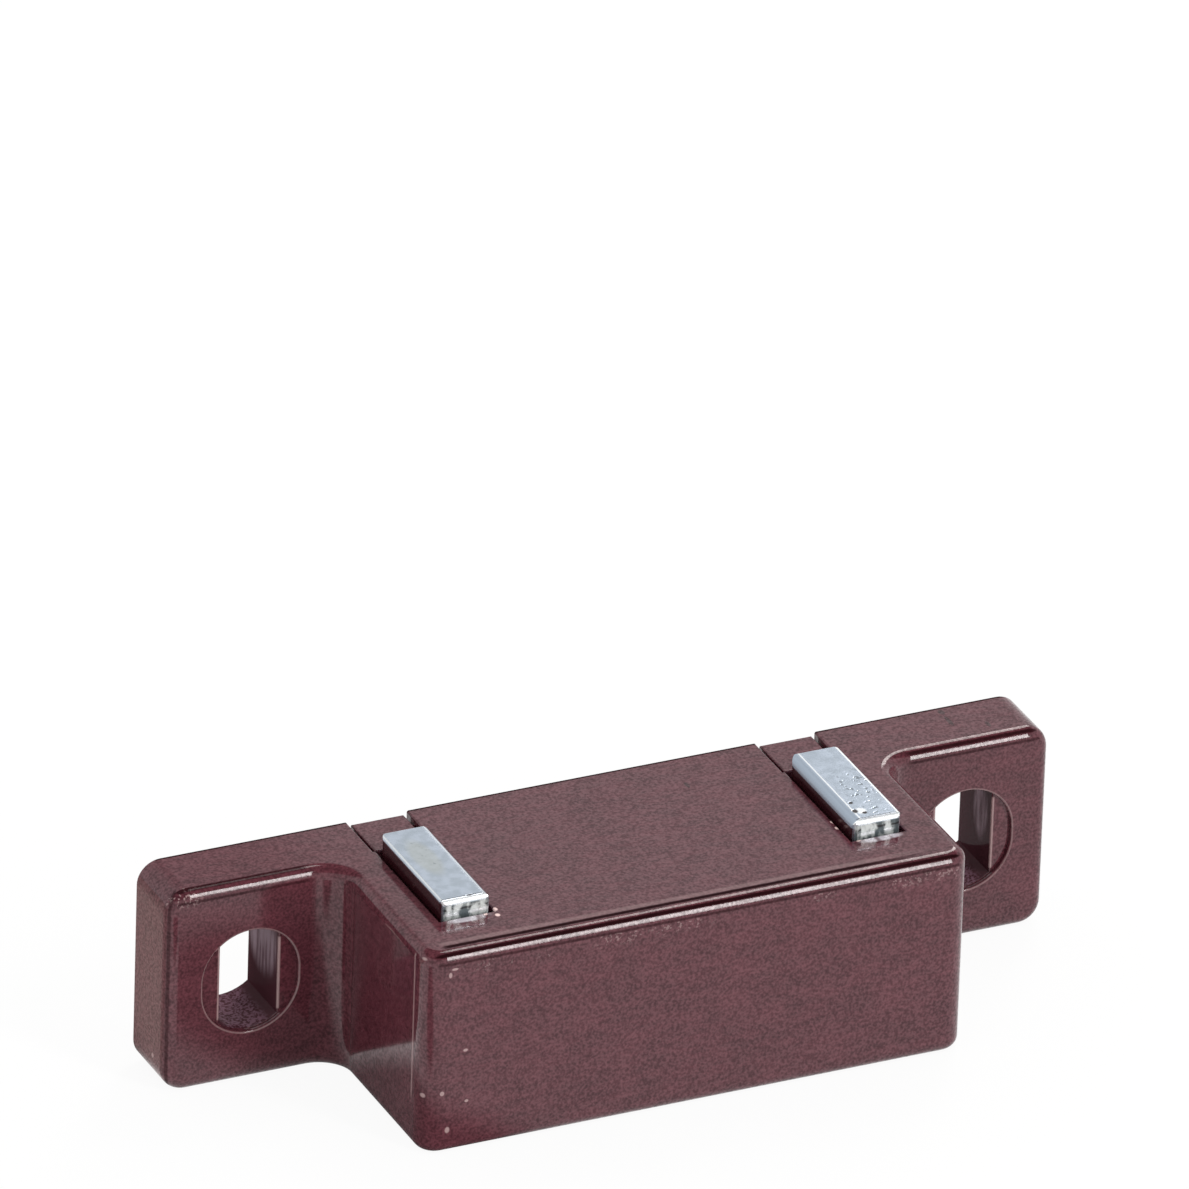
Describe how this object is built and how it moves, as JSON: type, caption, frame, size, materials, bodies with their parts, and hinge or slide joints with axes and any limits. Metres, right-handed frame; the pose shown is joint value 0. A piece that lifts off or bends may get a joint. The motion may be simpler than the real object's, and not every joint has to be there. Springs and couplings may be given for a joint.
{
  "type": "magnetic catch",
  "caption": "Screw-on magnetic catch: a moulded brown block with slotted ears, holding a magnet between steel pole plates whose tips stand out of its top.",
  "frame": {"origin": "centre of the flat back face that is screwed to the cabinet", "axes": "+X along the length from ear to ear, +Y out of the mounting face, +Z towards the side where the pole tips stand out"},
  "size_m": [0.074, 0.0218, 0.0186],
  "materials": {
    "brown_plastic": "satin",
    "zinc_plated_steel": "satin",
    "ferrite": "matt"
  },
  "bodies": {
    "root": {"housing": "brown_plastic", "back_cover": "brown_plastic", "magnet": "ferrite", "pole_left": "zinc_plated_steel", "pole_right": "zinc_plated_steel"}
  },
  "joints": []
}
